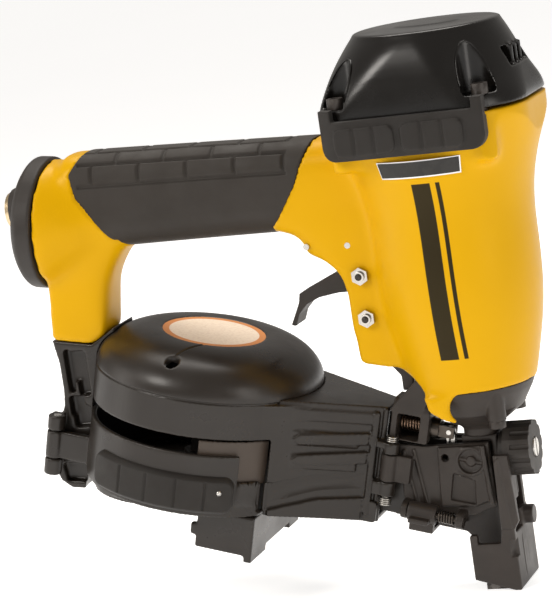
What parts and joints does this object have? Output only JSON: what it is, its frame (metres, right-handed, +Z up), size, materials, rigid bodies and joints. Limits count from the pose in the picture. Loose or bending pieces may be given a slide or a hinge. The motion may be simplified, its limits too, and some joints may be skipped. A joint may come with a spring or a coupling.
{
  "type": "pneumatic coil roofing nailer",
  "caption": "Air-driven nailer with a capped barrel, a rubber-gripped handle, a round tilted coil magazine and a contact foot with depth wheel.",
  "frame": {"origin": "where the driver axis meets the work surface, at the centre of the nail exit hole in the contact foot's bottom face", "axes": "+Z up along the driver axis towards the cap, +X forward away from the handle, +Y to the tool's left as seen from behind the handle"},
  "size_m": [0.2775, 0.1174, 0.275],
  "materials": {
    "yellow_paint": "painted cast housing, satin",
    "grip_rubber": "moulded rubber, matt with an embossed pattern",
    "cap_plastic": "moulded, satin gloss",
    "bumper_rubber": "moulded rubber",
    "nose_metal": "black-coated casting",
    "coated_steel": "black oxide steel",
    "magazine_plastic": "moulded, satin",
    "matte_black": "moulded, matt",
    "steel": "machined",
    "chrome": "plated",
    "spring_steel": "drawn wire",
    "copper_wire": "coated wire",
    "brass_fitting": "turned",
    "aluminium": "machined",
    "seal_rubber": "moulded",
    "label_paper": "printed disc, blank",
    "black_plate": "blank plate"
  },
  "bodies": {
    "root": {"main_housing": "yellow_paint", "handle_grip": "grip_rubber", "end_cap": "matte_black", "end_cap_seal": "seal_rubber", "inlet_bushing": "brass_fitting", "cap": "cap_plastic", "cap_gasket": "seal_rubber", "cap_screws": "coated_steel", "bumper_right": "bumper_rubber", "bumper_left": "bumper_rubber", "badge_plate": "black_plate", "cylinder_sleeve": "aluminium", "cylinder_seals": "seal_rubber", "piston_bumper": "seal_rubber", "head_valve_spring": "spring_steel", "piston_stop": "seal_rubber", "cheek_bolts": "chrome", "valve_pins": "steel", "valve_body": "brass_fitting", "valve_spring": "spring_steel", "nose_flange": "nose_metal", "nose_screws": "coated_steel", "nose_body": "nose_metal", "door_hinge_pin": "steel", "feed_cylinder": "nose_metal", "feed_spring": "copper_wire", "canister": "magazine_plastic", "canister_label": "label_paper", "feed_channel": "magazine_plastic", "magazine_bracket": "magazine_plastic", "bracket_screws": "coated_steel", "cover_hinge_pin": "steel", "contact_spring": "spring_steel", "wheel_screw": "steel"},
    "piston": {"piston": "aluminium", "piston_ring": "seal_rubber", "driver_blade": "steel"},
    "head_valve": {"head_valve": "matte_black", "head_valve_seal": "seal_rubber"},
    "trigger": {"trigger": "matte_black", "trip_lever": "steel"},
    "valve_stem": {"valve_stem": "steel"},
    "contact_foot": {"contact_foot": "coated_steel", "foot_plate": "coated_steel", "trip_arm": "coated_steel"},
    "depth_wheel": {"depth_wheel": "matte_black"},
    "depth_stop": {"depth_stop": "coated_steel"},
    "feed_piston": {"feed_piston": "steel", "pawl_pin": "steel"},
    "feed_pawl": {"feed_pawl": "steel"},
    "nose_door": {"nose_door": "nose_metal", "latch_pin": "steel", "latch_spring": "spring_steel"},
    "door_latch": {"door_latch": "coated_steel"},
    "cover": {"magazine_cover": "magazine_plastic", "cover_pad": "bumper_rubber", "nail_post": "matte_black", "guide_screws": "coated_steel"},
    "platform": {"nail_platform": "matte_black"},
    "shingle_guide": {"shingle_guide": "magazine_plastic"}
  },
  "joints": [
    {"name": "piston_stroke", "type": "slide", "parent": "root", "child": "piston", "axis": [0, 0, -1], "range_m": [0, 0.078]},
    {"name": "head_valve_lift", "type": "slide", "parent": "root", "child": "head_valve", "axis": [0, 0, 1], "range_m": [0, 0.005], "stiffness_N_per_m": 2000, "springref_m": -0.008, "deforming": ["head_valve_spring"]},
    {"name": "trigger_pull", "type": "hinge", "parent": "root", "child": "trigger", "pos_m": [-0.0439, 0, 0.1599], "axis": [0, 1, 0], "range_deg": [0, 12], "stiffness_Nm_per_rad": 0.4, "springref_deg": -20.05},
    {"name": "valve_stem_slide", "type": "slide", "parent": "root", "child": "valve_stem", "axis": [0, 0, 1], "range_m": [0, 0.0035], "deforming": ["valve_spring"]},
    {"name": "contact_slide", "type": "slide", "parent": "root", "child": "contact_foot", "axis": [0, 0, 1], "range_m": [0, 0.007], "stiffness_N_per_m": 600, "springref_m": -0.012, "deforming": ["contact_spring"]},
    {"name": "depth_wheel_turn", "type": "hinge", "parent": "root", "child": "depth_wheel", "pos_m": [0.0188, 0, 0.0661], "axis": [-1, 0, 0], "range_deg": [0, 270]},
    {"name": "depth_stop_slide", "type": "slide", "parent": "root", "child": "depth_stop", "axis": [0, 0, -1], "range_m": [0, 0.00501]},
    {"name": "feed_piston_slide", "type": "slide", "parent": "root", "child": "feed_piston", "axis": [-0.9659, 0, 0.2588], "range_m": [0, 0.008], "stiffness_N_per_m": 300, "springref_m": -0.006},
    {"name": "feed_pawl_pivot", "type": "hinge", "parent": "feed_piston", "child": "feed_pawl", "pos_m": [-0.01472, -0.003, 0.07737], "axis": [0, 1, 0], "range_deg": [0, 20], "stiffness_Nm_per_rad": 0.004, "springref_deg": -22.92},
    {"name": "door_swing", "type": "hinge", "parent": "root", "child": "nose_door", "pos_m": [-0.04527, -0.0125, 0.06382], "axis": [-0.2588, 0, -0.9659], "range_deg": [0, 90]},
    {"name": "latch_turn", "type": "hinge", "parent": "nose_door", "child": "door_latch", "pos_m": [-0.03087, -0.0145, 0.04029], "axis": [-0.9659, 0, 0.2588], "range_deg": [0, 35], "stiffness_Nm_per_rad": 0.05, "springref_deg": -20.05},
    {"name": "cover_swing", "type": "hinge", "parent": "root", "child": "cover", "pos_m": [-0.21685, -0.018, 0.08805], "axis": [-0.2588, 0, -0.9659], "range_deg": [0, 95]},
    {"name": "platform_lift", "type": "slide", "parent": "cover", "child": "platform", "axis": [0.2588, 0, 0.9659], "range_m": [0, 0.018]},
    {"name": "guide_slide", "type": "slide", "parent": "cover", "child": "shingle_guide", "axis": [0.9659, 0, -0.2588], "range_m": [-0.008, 0.008]}
  ],
  "couplings": [
    {"joint": "valve_stem_slide", "follows": "trigger_pull", "m_per_rad": 0.0155},
    {"joint": "depth_stop_slide", "follows": "depth_wheel_turn", "m_per_rad": 0.001061}
  ]
}
